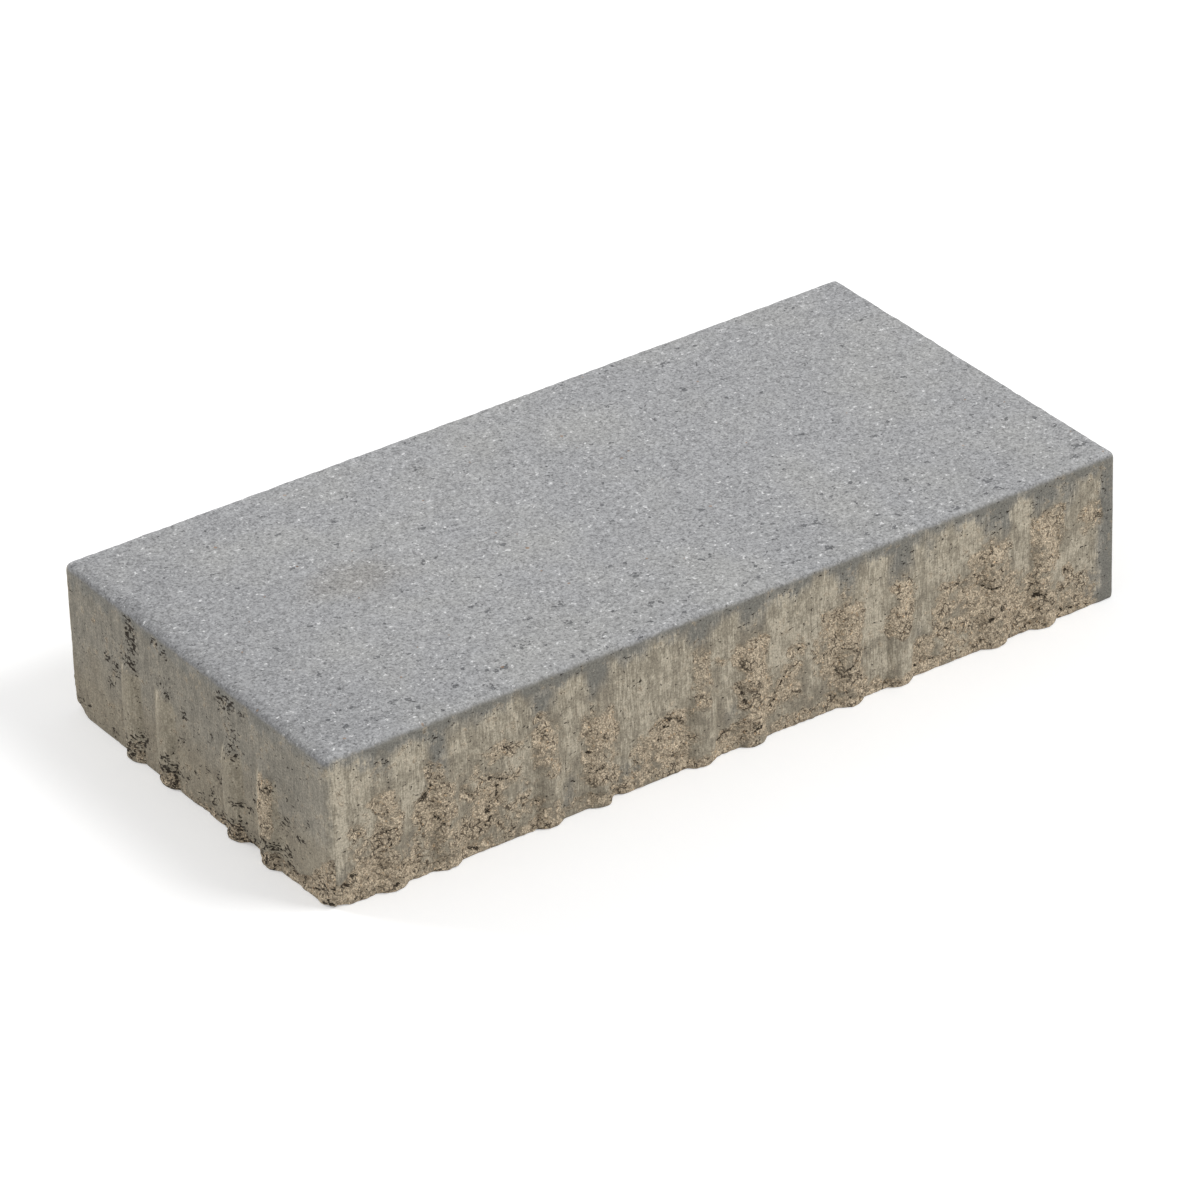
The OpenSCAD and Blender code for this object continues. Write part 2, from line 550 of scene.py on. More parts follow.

# Paleness of the skin, with painted highlights and light on the left face's ribs and by its near upright
# corner; the upright corner between the front and right faces stays plain slate
pale = PALE_BASE + PALE_SLICK * slick - PALE_SLATE * slate * (1.0 - slick)
pale = bend(pale, streak=0.1, mottle=0.08)
upper_loss = PALE_UPPER * on_front * smooth_step(up, zero=36.0, one=52.0)
pale -= PALE_RIM * smooth_step(bend(up, ragged=1.0), zero=63.5, one=66.5) + upper_loss
# Painted highlight: a thin bright line along the far flank of each left-face rib; painted light on the rib
# bodies and on the flank turned toward the near end
rib_edge_highlight = smooth_step(rib_side, zero=-6.8, one=-5.8) * smooth_step(rib_side, zero=-3.8, one=-4.9)
rib_turned_light = on_rib * smooth_step(rib_side, zero=0.0, one=5.0)
left_pale = bend(LEFT_BASE - LEFT_SLATE * slate, mottle=0.08, streak=0.05)
left_pale += (LEFT_RIB_TONE_AND_LIGHT * on_rib + LEFT_RIB_TONE_AND_LIGHT * rib_turned_light + rib_edge_highlight) * rib_body
# Painted light toward the near upright corner, and a painted highlight along it
near_painted_light = LEFT_NEAR_LIGHT * smooth_step(along, zero=166.0, one=190.0)
left_pale += near_painted_light + LEFT_CORNER_HIGHLIGHT * smooth_step(bend(along, ragged=0.8), zero=189.5, one=193.0)
pale = np.where(on_left, left_pale, pale)
plain_end = on_front * smooth_step(bend(along, ragged=1.5), zero=384.0, one=388.0)
plain_end = np.maximum(plain_end, on_right * smooth_step(bend(along, ragged=3.0), zero=12.0, one=6.0))
slate = np.maximum(slate, plain_end)
pale = pale * (1.0 - plain_end)
calm = np.where(on_left, CALM_LEFT, 1.0 - CALM_END * plain_end)

# How open the concrete is on the hidden faces, the left face and the front face
low_part = smooth_step(bend(up, wander=8.0), zero=36.0, one=8.0)
rib_part = on_rib * smooth_step(bend(up, ragged=5.0), zero=56.0, one=40.0)
hidden_open = OPEN_BASE + OPEN_FOOT * low_part + OPEN_RIB * rib_part
hidden_open = hidden_open - OPEN_SLICK * slick - OPEN_SLATE * slate
hidden_open = bend(hidden_open, broad=0.3, wander=0.25)
left_foot = smooth_step(bend(up, wander=4.0), zero=12.0, one=0.0)
left_open = LEFT_FOOT * left_foot * smooth_step(along, zero=40.0, one=60.0) + LEFT_OPEN_RIB * rib_part
left_open += LEFT_RIB_FOOT * on_rib * smooth_step(bend(up, wander=4.0), zero=13.0, one=4.0)
wedge_top = WEDGE_H * smooth_step(along, zero=160.0, one=195.0)
below_wedge = smooth_step(bend(up - wedge_top, wander=5.0, ragged=2.0), zero=4.0, one=-4.0)
left_open += WEDGE_OPEN * smooth_step(along, zero=158.0, one=170.0) * below_wedge
tan_along = bend(along, ragged=1.5)
tan_up = bend(up, wander=4.0)
left_open += TAN_OPEN * soft_box(tan_along, tan_up, TAN_RIB, soft_along=2.0, soft_up=4.0)
open_along = bend(along, wander=5.0, ragged=3.0)
open_up = bend(up, mottle=5.0, ragged=3.0)
front_open = OPEN_FRONT * patch_zone(FRONT_BARE, open_along, open_up, soft_along=4.5, soft_up=4.5)
open_level = by_face(front_open - OPEN_TAKEN, left_open - OPEN_TAKEN, hidden_open) - OPEN_END * plain_end
bare = smooth_step(bend(open_level, mottle=0.45, ragged=0.12), zero=0.1, one=0.7)

# Crevices of the front face, with open concrete along them
crack = np.full(len(side), NO_CRACK)
for run in FRONT_CRACKS:
    crack_gap = run_distance(bend(along, ragged=0.9), bend(up, fine=0.9), run)
    crack = np.where(on_front, np.minimum(crack, crack_gap), crack)
crack_open = OPEN_CRACK * smooth_step(bend(crack, ragged=2.0), zero=4.5, one=1.0)
bare = np.maximum(bare, crack_open * (1.0 - plain_end))

# Pitted zones, and fine dark dots in the front's slate smears
hidden_pores = smooth_step(wander, zero=0.3, one=0.6) * smooth_step(broad, zero=0.0, one=0.3)
pore_along = bend(along, ragged=1.2)
pore_up = bend(up, fine=1.2)
left_pores = patch_zone(LEFT_PORES, pore_along, pore_up, soft_along=1.5, soft_up=1.5)
faint_pores = FAINT_PITS * patch_zone(LEFT_FAINT, pore_along, pore_up, soft_along=1.5, soft_up=1.5)
low_pores = smooth_step(bend(up, wander=8.0), zero=30.0, one=12.0) * smooth_step(mottle, zero=-0.1, one=0.3)
low_pores = LOW_PITS * low_pores * smooth_step(along, zero=20.0, one=60.0)
rib_pores = RIB_PITS * on_rib * smooth_step(bend(up, wander=6.0), zero=17.0, one=5.0)
for more_pores in (faint_pores, low_pores, rib_pores):
    left_pores = np.maximum(left_pores, more_pores)
pores = by_face(0.0, left_pores, hidden_pores)
pepper = PEPPER * on_front * slate * (1.0 - plain_end)
pepper = pepper * smooth_step(up, zero=66.0, one=62.0) * smooth_step(mottle, zero=-0.2, one=0.3)

# Crevices along the borders of lumps where the concrete is open
warped = side + LUMP_WARP * np.stack([ragged, fine, streak], axis=1)
near, second = cell_noise(warped, LUMP_SIZE, LUMP_SEED)
border = 0.5 * (second - near)
open_border = smooth_step(layered_noise(side, *SEAM_NOISE), zero=0.6, one=0.72)
crack = np.minimum(crack, border + SEAM_REACH * (1.0 - bare * open_border))

# Shape of the sides
relief = bare * (CRUMB_RAGGED * ragged + CRUMB_FINE * fine - CRUMB_SUNK)
relief += bare * LUMP_RISE * smooth_step(border, zero=0.0, one=2.2)
relief *= 1.0 + FOOT_RELIEF * smooth_step(up, zero=22.0, one=8.0)
relief *= RIM_RELIEF + (1.0 - RIM_RELIEF) * smooth_step(up, zero=0.0, one=5.0)
depth = relief - CRACK_DEPTH * smooth_step(crack, zero=1.1, one=0.2)
depth -= PIT_DEPTH * pores * smooth_step(fine, zero=-0.2, one=0.5)
depth += SIDE_WAVE * wander + SIDE_GRIT * fine + SIDE_DRAWN * slick * streak
body_part = smooth_step(up, zero=BODY_H, one=BODY_H - 5.0)
shift = rib_rise + depth * body_part
shift += (1.0 - body_part) * np.minimum(ARRIS_RAGGED * ragged + ARRIS_GRIT * fine, ARRIS_MOST)
foot_wear = FOOT_WEAR + FOOT_WEAR_MORE * smooth_step(ragged, zero=0.1, one=0.6)
shift -= smooth_step(up, zero=2.5, one=0.0) * foot_wear * smooth_step(wander, zero=-0.2, one=0.3)
for which, place, half_width, cut in FOOT_CHIPS:
    across = np.where(face == which, bend(np.abs(along - place), ragged=1.5), FAR)
    chip = cut * smooth_step(across, zero=half_width, one=CHIP_CORE * half_width)
    shift -= chip * smooth_step(bend(up, fine=1.5), zero=5.0, one=0.5)
points = side + outward * shift[:, None]

# Crumbled lower corner toward the viewer and a softened far corner of the left face
for corner_x, corner_y, reach, cut in WORN_CORNERS:
    corner = np.array([corner_x * BODY_L / 2, corner_y * BODY_W / 2, 0.0])
    gap = np.linalg.norm((points - corner) * np.array(WORN_SHAPE), axis=1)
    worn = cut * smooth_step(bend(gap, ragged=2.0), zero=reach, one=0.0)
    points -= np.array([corner_x, corner_y, 0.0]) * (WORN_IN * worn)[:, None]
    points[:, 2] += worn * (1.0 - up / BODY_H) * WORN_UP
points[:, 2] = np.clip(points[:, 2], 0.0, None)


def cap_points(loop, step, margin, seed):
    """Jittered grid points inside a loop, in plan."""
    generator = np.random.default_rng(seed)
    low = loop.min(axis=0) + margin
    high = loop.max(axis=0) - margin
    xs = np.linspace(low[0], high[0], int((high[0] - low[0]) / step) + 1)
    ys = np.linspace(low[1], high[1], int((high[1] - low[1]) / step) + 1)
    grid = np.stack(np.meshgrid(xs, ys), axis=-1).reshape(-1, 2)
    return grid + generator.uniform(-CAP_JITTER, CAP_JITTER, grid.shape) * step


def fill_cap(loop, inner):
    """Triangles that fill a closed loop through its inner points; the loop keeps its numbers."""
    coords = [Vector(p) for p in np.concatenate([loop, inner])]
    count = len(loop)
    edges = [(k, (k + 1) % count) for k in range(count)]
    result = delaunay_2d_cdt(coords, edges, [], INSIDE_ONLY, SAME_POINT)
    origin = [source[0] for source in result[3]]
    return [[origin[k] for k in triangle] for triangle in result[2]]


# Wearing face and underside
top_start = (n_row - 1) * n_col
top_loop = points[top_start:, :2]
under_loop = points[:n_col, :2]
top_inner = cap_points(top_loop, TOP_STEP, TOP_MARGIN, TOP_SEED)
under_inner = cap_points(under_loop, UNDER_STEP, UNDER_MARGIN, UNDER_SEED)
top_flat = np.concatenate([top_inner, np.full((len(top_inner), 1), BODY_H)], axis=1)
top_flat[:, 2] += TOP_WAVE * (layered_noise(top_flat, *TOP_NOISE) - 0.5)
under_flat = np.concatenate([under_inner, np.zeros((len(under_inner), 1))], axis=1)
under_flat[:, 2] += UNDER_ROUGH * layered_noise(under_flat + UNDER_AWAY, *UNDER_NOISE)

# One closed mesh of the sides, the wearing face and the underside
n_side = len(points)
n_top = len(top_flat)
everything = np.concatenate([points, top_flat, under_flat])
polygons = []
for row in range(n_row - 1):
    first = row * n_col
    for col in range(n_col):
        after = (col + 1) % n_col
        polygons.append((first + col, first + after, first + n_col + after, first + n_col + col))
for triangle in fill_cap(top_loop, top_inner):
    polygons.append([top_start + k if k < n_col else n_side + k - n_col for k in triangle])
for triangle in fill_cap(under_loop, under_inner):
    polygons.append([k if k < n_col else n_side + n_top + k - n_col for k in reversed(triangle)])
mesh = bpy.data.meshes.new("paving_stone_detail")
mesh.from_pydata((everything * MM).tolist(), [], polygons)
mesh.polygons.foreach_set("use_smooth", np.ones(len(mesh.polygons), dtype=bool))

# Masks for the material: values of the sides, of the wearing face and of the underside
stain_gap = np.hypot(top_flat[:, 0] - STAIN_X, STAIN_NARROW * (top_flat[:, 1] - STAIN_Y))
stain_gap += STAIN_WAVER * (layered_noise(top_flat, *STAIN_NOISE) - 0.5)
arris_drop = np.where(on_left, LEFT_ARRIS_DROP, ARRIS_DROP)
arris_low = BODY_H - arris_drop
from_left = top_flat[:, 0] + BODY_L / 2
from_front = top_flat[:, 1] + BODY_W / 2
speckle = smooth_step(from_front, zero=75.0, one=5.0)
# Painted shade: the wearing face darker towards its left edge; it is also darker towards its front edge,
# where the grain shows more
painted_shade = PAINTED_SHADE_WIDE * smooth_step(from_left, zero=90.0, one=0.0)
painted_shade = painted_shade + PAINTED_SHADE_EDGE * smooth_step(from_left, zero=8.0, one=3.0) + NEAR_DARKENING * speckle
# Painted shade on the left arris
left_arris_painted_shade = PAINTED_ARRIS_SHADE + PAINTED_ARRIS_SHADE_LOW * smooth_step(up, zero=BODY_H - 0.1, one=BODY_H - 1.6)
left_cool = LEFT_COOL * smooth_step(bend(up, mottle=12.0), zero=8.0, one=45.0) * (1.0 - on_rib * rib_body)
masks = {
    "flank": (smooth_step(bend(up, ragged=0.6), zero=arris_low, one=arris_low - ARRIS_FADE), 0.0, 1.0),
    "pale": (pale, 0.5, 0.45),
    "bare": (bare, 0.0, 0.6),
    "pores": (np.maximum(pores, pepper), 0.0, 0.2),
    "crack": (crack, NO_CRACK, NO_CRACK),
    "calm": (calm, 1.0, 1.0),
    "relief": (relief, 0.0, 0.0),
    "stain": (0.0, smooth_step(stain_gap, zero=STAIN_R, one=0.0), 0.0),
    "speckle": (0.0, speckle, 0.0),
    "painted_shade": (np.where(on_left, left_arris_painted_shade, 0.0), painted_shade, 0.0),
    "slate": (np.where(on_left, left_cool + LEFT_RIM * slate, slate), 0.0, 0.2),
}
counts = (n_side, n_top, len(under_flat))
for name, parts in masks.items():
    values = np.concatenate([np.broadcast_to(part, count) for part, count in zip(parts, counts)])
    mesh.attributes.new(name, "FLOAT", "POINT").data.foreach_set("value", values.astype(np.float32))
mesh.update()
stone = bpy.data.objects.new("paving_stone_detail", mesh)
bpy.context.scene.collection.objects.link(stone)


class Nodes:
    """Short ways to add shader nodes to one material or world."""

    # Numbers of a mix node's colour sockets
    MIX_A = 6
    MIX_B = 7
    MIX_RESULT = 2

    def __init__(self, owner):
        owner.use_nodes = True
        self.tree = owner.node_tree
        self.tree.nodes.clear()

    def add(self, kind, inputs=None, **settings):
        node = self.tree.nodes.new(kind)
        for key, value in settings.items():
            setattr(node, key, value)
        for key, value in (inputs or {}).items():
            self.give(node.inputs[key], value)
        return node

    def give(self, socket, value):
        if isinstance(value, bpy.types.NodeSocket):
            self.tree.links.new(value, socket)
        else:
            socket.default_value = value

    def math(self, operation, a, b):
        return self.add("ShaderNodeMath", {0: a, 1: b}, operation=operation).outputs[0]

    def times(self, a, b):
        return self.math("MULTIPLY", a, b)

    def less(self, a, b):
        return self.math("SUBTRACT", a, b)

    def total(self, first, *others):
        for other in others:
            first = self.math("ADD", first, other)
        return first

    def most(self, first, *others):
        for other in others:
            first = self.math("MAXIMUM", first, other)
        return first

    def mask(self, name):
        node = self.add("ShaderNodeAttribute", attribute_name=name, attribute_type="GEOMETRY")
        return node.outputs["Fac"]

    def stretched(self, vector, height):
        """The place with its height multiplied."""
        return self.add("ShaderNodeMapping", {"Vector": vector, "Scale": (1.0, 1.0, height)}).outputs[0]

    def noise(self, vector, scale, detail=2.0, roughness=0.55):
        inputs = {"Vector": vector, "Scale": scale, "Detail": detail, "Roughness": roughness}
        return self.add("ShaderNodeTexNoise", inputs).outputs["Fac"]

    def cells(self, vector, scale):
        """Distance from the middle of a grain, and three values that differ from grain to grain."""
        node = self.add("ShaderNodeTexVoronoi", {"Vector": vector, "Scale": scale}, feature="F1")
        picks = self.add("ShaderNodeSeparateColor", {0: node.outputs["Color"]}).outputs
        return node.outputs["Distance"], picks

    def seams(self, vector, scale):
        inputs = {"Vector": vector, "Scale": scale}
        return self.add("ShaderNodeTexVoronoi", inputs, feature="DISTANCE_TO_EDGE").outputs["Distance"]

    def slope(self, value, low, high, start=0.0, end=1.0, **settings):
        """Goes straight from start to end as the value goes from low to high."""
        inputs = {"Value": value, "From Min": low, "From Max": high, "To Min": start, "To Max": end}
        return self.add("ShaderNodeMapRange", inputs, **settings).outputs["Result"]

    def ramp(self, value, low, high, start=0.0, end=1.0):
        """The same with a soft start and end."""
        return self.slope(value, low, high, start, end, interpolation_type="SMOOTHSTEP")

    def spread(self, value, reach, low=0.3, high=0.7):
        """A value from minus to plus the reach."""
        return self.ramp(value, low, high, -reach, reach)

    def mix(self, factor, a, b, blend="MIX"):
        node = self.add("ShaderNodeMix", {"Factor": factor}, data_type="RGBA", blend_type=blend)
        self.give(node.inputs[self.MIX_A], a)
        self.give(node.inputs[self.MIX_B], b)
        return node.outputs[self.MIX_RESULT]

    def dim(self, colour, level):
        """A colour multiplied by one level."""
        grey = self.add("ShaderNodeCombineColor", {0: level, 1: level, 2: level}).outputs[0]
        return self.mix(1.0, colour, grey, "MULTIPLY")


def tone(red, green, blue):
    """Linear colour of an everyday 0 to 255 colour."""
    linear = []
    for value in (red, green, blue):
        part = value / 255.0
        linear.append(part / 12.92 if part <= 0.04045 else ((part + 0.055) / 1.055) ** 2.4)
    return (*linear, 1.0)


# Colours of the wearing face, and the tints that multiply it
FACE_LEVEL = 0.362
COOL_TINT = (0.99, 0.997, 1.02, 1.0)
WARM_TINT = (1.0, 1.0, 0.99, 1.0)
STAIN_TINT = (0.9, 0.868, 0.815, 1.0)
WHITE_GRAIN = tone(236, 236, 236)
PALE_GRAIN = tone(216, 216, 214)
PIT = tone(84, 86, 89)
POCK = tone(86, 88, 91)
RUST = tone(150, 118, 88)

# Colours of the sides' skin, of the open concrete with painted light and shade on its lumps and grains, and
# of what is deep: dust and painted shade in hollows, painted shade in crevices and pores
DARK_SKIN = tone(133, 125, 111)
DARK_SLATE = tone(121, 119, 112)
MIDDLE_SKIN = tone(152, 144, 128)
MIDDLE_SLATE = tone(146, 142, 133)
PALE_SKIN = tone(184, 175, 157)
OPEN_LOW_DUST_AND_SHADE = tone(174, 160, 139)
OPEN_RAISED_LIT = tone(195, 180, 157)
BRIGHT_SAND = tone(216, 198, 172)
DARK_SAND = tone(114, 100, 84)
OCHRE_SAND = tone(206, 168, 124)
SAND_GAP_SHADE = tone(96, 84, 70)
HOLLOW_DUST_AND_SHADE = tone(92, 80, 66)
CREVICE_SHADE = tone(40, 33, 26)
CREVICE_SHADE_COVER = 0.92

# How much more the grain shows near the front edge of the wearing face
NEAR_WHITE = 0.012
NEAR_PIT = 0.03
NEAR_POCK = 0.04

# Heights of the relief finer than the mesh
GRAIN_HEIGHT = 0.0004
DENT_HEIGHT = 0.0006
POCK_DEPTH = 0.0005
LUMP_HEIGHT = 0.0010
SAND_FALL = -0.0003
LINE_HEIGHT = 0.00015
CREVICE_DEPTH = 0.0006

# Height scale of the streaks and of the pores, bend of the seams, gain of the pores, and dullness
DRAWN_OUT = 0.12
PRESSED = 1.8
SEAM_BEND = (0.004, 0.004, 0.004)
PORE_GAIN = 0.165
ROUGHNESS = 0.92
SPECULAR = 0.2


def wearing_face(n, place, mask):
    """Colour and height of the wearing face: fine grain, pale specks, dents, a faint stain, and painted
    shade near the left edge and on the left arris.
    """
    grain = n.noise(place, scale=1150.0, detail=2.0, roughness=0.75)
    clump = n.noise(place, scale=480.0, detail=2.0, roughness=0.6)
    dent = n.noise(place, scale=300.0, detail=2.0, roughness=0.6)
    cloud = n.noise(place, scale=22.0, detail=3.0)
    patch = n.noise(place, scale=190.0, detail=3.0, roughness=0.65)
    spot = n.noise(place, scale=330.0, detail=0.0, roughness=0.5)
    picks = n.cells(place, scale=1000.0)[1]
    level = n.total(
        n.spread(grain, reach=0.13, low=0.2, high=0.8),
        n.spread(clump, reach=0.04, low=0.25, high=0.75),
        n.slope(picks[0], low=0.0, high=1.0, start=-0.075, end=0.075),
        n.spread(cloud, reach=0.014),
        FACE_LEVEL,
    )
    # Painted shade near the left edge and on the left arris, and darker towards the front edge
    level = n.times(level, n.less(1.0, mask["painted_shade"]))
    colour = n.dim(n.mix(n.ramp(cloud, low=0.35, high=0.7), COOL_TINT, WARM_TINT), level)
    colour = n.mix(mask["stain"], colour, STAIN_TINT, "MULTIPLY")
    white = n.ramp(n.total(clump, n.times(mask["speckle"], NEAR_WHITE)), low=0.672, high=0.71)
    pit = n.ramp(n.less(dent, n.times(mask["speckle"], NEAR_PIT)), low=0.318, high=0.27)
    pock = n.ramp(n.less(patch, n.times(mask["speckle"], NEAR_POCK)), low=0.335, high=0.285)
    covers = [
        (white, 0.7, WHITE_GRAIN),
        (n.ramp(patch, low=0.70, high=0.76), 0.4, PALE_GRAIN),
        (pit, 0.65, PIT),
        (pock, 0.7, POCK),
        (n.ramp(spot, low=0.845, high=0.87), 0.6, RUST),
    ]
    for factor, amount, over in covers:
        colour = n.mix(n.times(factor, amount), colour, over)
    height = n.total(n.times(grain, GRAIN_HEIGHT), n.times(dent, DENT_HEIGHT))
    return colour, n.less(height, n.times(pock, POCK_DEPTH))


def skin_colour(n, drawn, lines, blotch, mask):
    """Smooth skin of the sides, from slate grey to beige in drawn streaks."""
    threads = n.noise(drawn, scale=330.0, detail=2.0, roughness=0.6)
    drift = n.total(
        n.spread(lines, reach=0.4, low=0.25, high=0.75),
        n.spread(blotch, reach=0.4, low=0.25, high=0.75),
        n.spread(threads, reach=0.2, low=0.25, high=0.75),
    )
    paleness = n.total(mask["pale"], n.times(drift, mask["calm"]))
    slate = n.slope(mask["slate"], low=0.1, high=0.6)
    dark = n.mix(slate, DARK_SKIN, DARK_SLATE)
    middle = n.mix(slate, MIDDLE_SKIN, MIDDLE_SLATE)
    skin = n.mix(n.slope(paleness, low=0.0, high=0.4), dark, middle)
    return n.mix(n.slope(paleness, low=0.5, high=0.85), skin, PALE_SKIN)


def open_concrete(n, place, lump, sand, picks):
    """Colour of the open concrete: paste with dust and painted shade where the lumps sink and painted light
    where they rise, sand of several tones, painted shade in the gaps between the grains, and dust.
    """
    # Dust and painted shade on the low parts of the lumps, painted light on the raised parts
    colour = n.mix(n.slope(lump, low=0.3, high=0.6), OPEN_LOW_DUST_AND_SHADE, OPEN_RAISED_LIT)
    colour = n.mix(n.ramp(picks[0], low=0.5, high=1.0, end=0.75), colour, BRIGHT_SAND)
    colour = n.mix(n.ramp(picks[1], low=0.6, high=1.0, end=0.65), colour, DARK_SAND)
    colour = n.mix(n.ramp(picks[2], low=0.95, high=0.99, end=0.4), colour, OCHRE_SAND)
    # Painted shade in the gaps between the sand grains
    colour = n.mix(n.ramp(sand, low=0.45, high=0.85, end=0.4), colour, SAND_GAP_SHADE)
    dust = n.noise(place, scale=2100.0, detail=1.0, roughness=0.5)
    return n.dim(colour, n.ramp(dust, low=0.3, high=0.7, start=0.66, end=1.34))


def shaded_places(n, place, lump, blotch, speck, open_factor, mask):
    """How dark crevices and pores are at each place: painted shade in them."""
    swirl = n.add("ShaderNodeTexNoise", {"Vector": place, "Scale": 420.0, "Detail": 2.0}).outputs["Color"]
    offset = n.add("ShaderNodeVectorMath", {0: swirl, 1: SEAM_BEND}, operation="MULTIPLY").outputs[0]
    bent = n.add("ShaderNodeVectorMath", {0: place, 1: offset}).outputs[0]
    seam = n.ramp(n.seams(bent, scale=260.0), low=0.085, high=0.02)
    seam = n.times(seam, n.ramp(blotch, low=0.48, high=0.6))
    cleft = n.ramp(n.noise(place, scale=330.0, detail=4.0, roughness=0.72), low=0.35, high=0.3)
    cleft = n.times(n.most(cleft, seam), n.ramp(open_factor, low=0.3, high=0.8, end=0.8))
    crack_edge = n.total(mask["crack"], n.spread(lump, reach=-0.5), n.spread(speck, reach=0.4))
    pore = n.noise(n.stretched(place, PRESSED), scale=480.0, detail=3.0, roughness=0.6)
    pore = n.total(pore, n.times(mask["pores"], PORE_GAIN))
    return n.most(cleft, n.ramp(crack_edge, low=0.45, high=0.15), n.ramp(pore, low=0.665, high=0.695))


def side_faces(n, place, mask):
    """Colour and height of the sides: drawn skin, open concrete, crevices and pores, with painted shade in
    the hollows, crevices and pores.
    """
    drawn = n.stretched(place, DRAWN_OUT)
    lines = n.noise(drawn, scale=1500.0, detail=3.0, roughness=0.65)
    blotch = n.noise(place, scale=170.0, detail=4.0, roughness=0.65)
    speck = n.noise(place, scale=1200.0, detail=3.0, roughness=0.75)
    lump = n.noise(place, scale=330.0, detail=4.0, roughness=0.68)
    sand, picks = n.cells(place, scale=1250.0)
    openness = n.total(mask["bare"], n.total(n.spread(lump, reach=0.35), n.spread(blotch, reach=0.3)))
    open_factor = n.ramp(openness, low=0.15, high=0.85)
    skin = skin_colour(n, drawn, lines, blotch, mask)
    colour = n.mix(open_factor, skin, open_concrete(n, place, lump, sand, picks))
    # Dust and painted shade darken where the relief is sunk
    hollow_dust_and_shade = n.total(mask["relief"], n.spread(lump, reach=0.35))
    colour = n.mix(n.ramp(hollow_dust_and_shade, low=-1.7, high=-0.85, start=0.26, end=0.0), colour, HOLLOW_DUST_AND_SHADE)
    # Painted shade in the crevices, seams and pores
    dark = shaded_places(n, place, lump, blotch, speck, open_factor, mask)
    colour = n.mix(n.times(dark, CREVICE_SHADE_COVER), colour, CREVICE_SHADE)
    colour = n.dim(colour, n.ramp(speck, low=0.25, high=0.75, start=0.67, end=1.33))
    height = n.total(n.times(lump, LUMP_HEIGHT), n.times(sand, SAND_FALL))
    height = n.times(height, n.ramp(open_factor, low=0.0, high=1.0, start=0.12, end=1.0))
    height = n.total(height, n.times(lines, LINE_HEIGHT))
    return colour, n.less(height, n.times(dark, CREVICE_DEPTH))


def concrete_material():
    """Procedural concrete: the wearing face, and the sides wherever the flank mask says so."""
    material = bpy.data.materials.new("concrete")
    n = Nodes(material)
    place = n.add("ShaderNodeTexCoord").outputs["Object"]
    mask = {name: n.mask(name) for name in masks}
    face_colour, face_height = wearing_face(n, place, mask)
    side_colour, side_height = side_faces(n, place, mask)
    colour = n.mix(mask["flank"], face_colour, side_colour)
    height = n.times(side_height, mask["flank"])
    height = n.total(height, n.times(face_height, n.less(1.0, mask["flank"])))
    bump = n.add("ShaderNodeBump", {"Height": height, "Strength": 1.0, "Distance": 1.0})
    shader = n.add("ShaderNodeBsdfPrincipled", {"Base Color": colour, "Normal": bump.outputs[0]})
    shader.inputs["Roughness"].default_value = ROUGHNESS
    shader.inputs["Specular IOR Level"].default_value = SPECULAR
    n.add("ShaderNodeOutputMaterial", {"Surface": shader.outputs[0]})
    return material


stone.data.materials.append(concrete_material())
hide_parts("paving_stone")
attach(stone, "root")

# Pale floor that stays white to the camera and keeps the stone's shadow
FLOOR_HALF = 6.0
FLOOR_GLOW = 0.3
FLOOR_COLOUR = (0.8, 0.8, 0.8, 1.0)
WHITE = (1.0, 1.0, 1.0, 1.0)
floor_mesh = bpy.data.meshes.new("floor")
floor_corners = [(x * FLOOR_HALF, y * FLOOR_HALF, 0.0) for x, y in ((-1, -1), (1, -1), (1, 1), (-1, 1))]
floor_mesh.from_pydata(floor_corners, [], [(0, 1, 2, 3)])
floor = bpy.data.objects.new("floor", floor_mesh)
bpy.context.scene.collection.objects.link(floor)
paper_material = bpy.data.materials.new("floor_paper")
paper = Nodes(paper_material)
rays = paper.add("ShaderNodeLightPath").outputs
seen = paper.most(rays["Is Camera Ray"], rays["Is Glossy Ray"], rays["Is Transmission Ray"])
matte = paper.add("ShaderNodeBsdfDiffuse", {"Color": FLOOR_COLOUR})
glow = paper.add("ShaderNodeEmission", {"Color": WHITE, "Strength": paper.times(seen, FLOOR_GLOW)})
both = paper.add("ShaderNodeAddShader", {0: matte.outputs[0], 1: glow.outputs[0]})
paper.add("ShaderNodeOutputMaterial", {"Surface": both.outputs[0]})
floor_mesh.materials.append(paper_material)

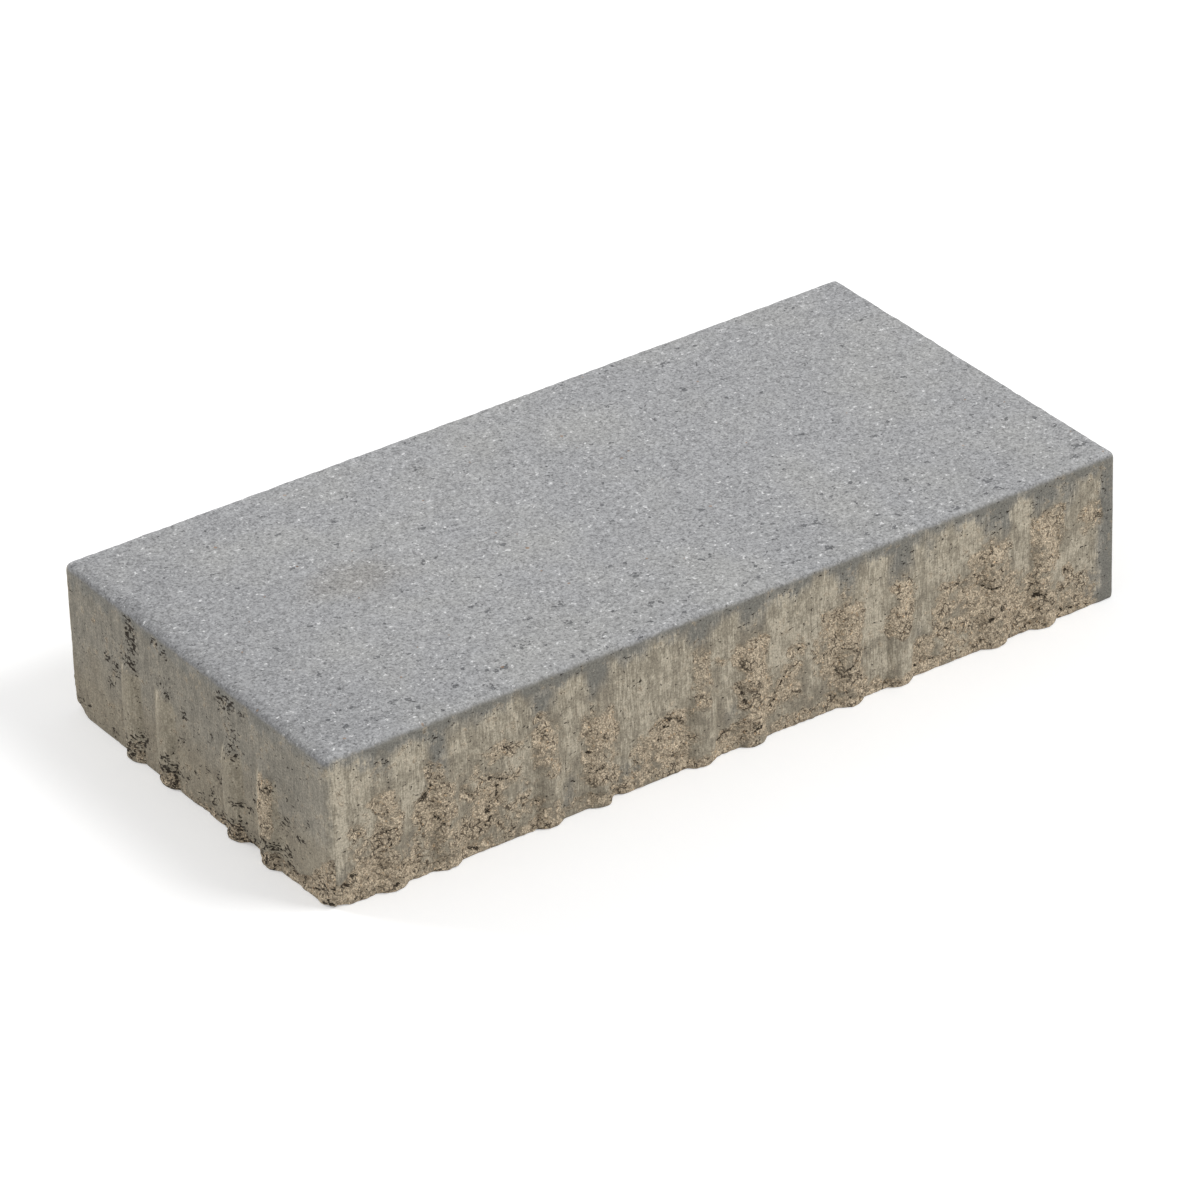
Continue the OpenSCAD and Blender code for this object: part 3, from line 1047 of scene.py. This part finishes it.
# Soft surroundings, brighter where the camera or a reflection sees them
WORLD_LEVEL = 0.66
world = bpy.data.worlds.new("studio")
bpy.context.scene.world = world
studio = Nodes(world)
rays = studio.add("ShaderNodeLightPath").outputs
seen = studio.most(rays["Is Camera Ray"], rays["Is Glossy Ray"])
sky_level = studio.slope(seen, low=0.0, high=1.0, start=WORLD_LEVEL, end=1.0)
sky = studio.add("ShaderNodeBackground", {"Strength": sky_level})
studio.add("ShaderNodeOutputWorld", {"Surface": sky.outputs[0]})


def area_light(name, place, aim, size, power):
    """A square soft light that looks at a point."""
    data = bpy.data.lights.new(name, "AREA")
    data.size = size
    data.energy = power
    lamp = bpy.data.objects.new(name, data)
    lamp.location = place
    lamp.rotation_euler = (Vector(aim) - Vector(place)).to_track_quat("-Z", "Y").to_euler()
    bpy.context.scene.collection.objects.link(lamp)


area_light("key_light", place=(1.28, -1.52, 2.33), aim=(0.0, 0.0, 0.03), size=1.2, power=49.0)
area_light("rim_light", place=(-1.3, 1.7, 1.2), aim=(-0.1, 0.0, 0.03), size=0.7, power=22.0)

# Camera fitted to the photo's straight edges, with no shift
VIEW_AZIMUTH = math.radians(-34.39)
VIEW_ELEVATION = math.radians(30.952)
VIEW_ROLL = math.radians(-1.809)
VIEW_DISTANCE = 2.9135
VIEW_AIM = Vector((0.00713, 0.00857, 0.01851))
VIEW_LENS = 210.43
SENSOR_WIDTH = 36.0
back = Vector((
    math.sin(VIEW_AZIMUTH) * math.cos(VIEW_ELEVATION),
    -math.cos(VIEW_AZIMUTH) * math.cos(VIEW_ELEVATION),
    math.sin(VIEW_ELEVATION),
))
level = Vector((math.cos(VIEW_AZIMUTH), math.sin(VIEW_AZIMUTH), 0.0))
upright = back.cross(level)
right = math.cos(VIEW_ROLL) * level + math.sin(VIEW_ROLL) * upright
top = math.cos(VIEW_ROLL) * upright - math.sin(VIEW_ROLL) * level
camera_data = bpy.data.cameras.new("camera")
camera_data.lens = VIEW_LENS
camera_data.sensor_width = SENSOR_WIDTH
camera = bpy.data.objects.new("camera", camera_data)
turn = Matrix((right, top, back)).transposed().to_4x4()
camera.matrix_world = Matrix.Translation(VIEW_AIM + back * VIEW_DISTANCE) @ turn
bpy.context.scene.collection.objects.link(camera)
bpy.context.scene.camera = camera
bpy.context.scene.view_settings.view_transform = "Standard"

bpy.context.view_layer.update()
triangles = sum(len(polygon.vertices) - 2 for polygon in mesh.polygons)
print("stone triangles", triangles)
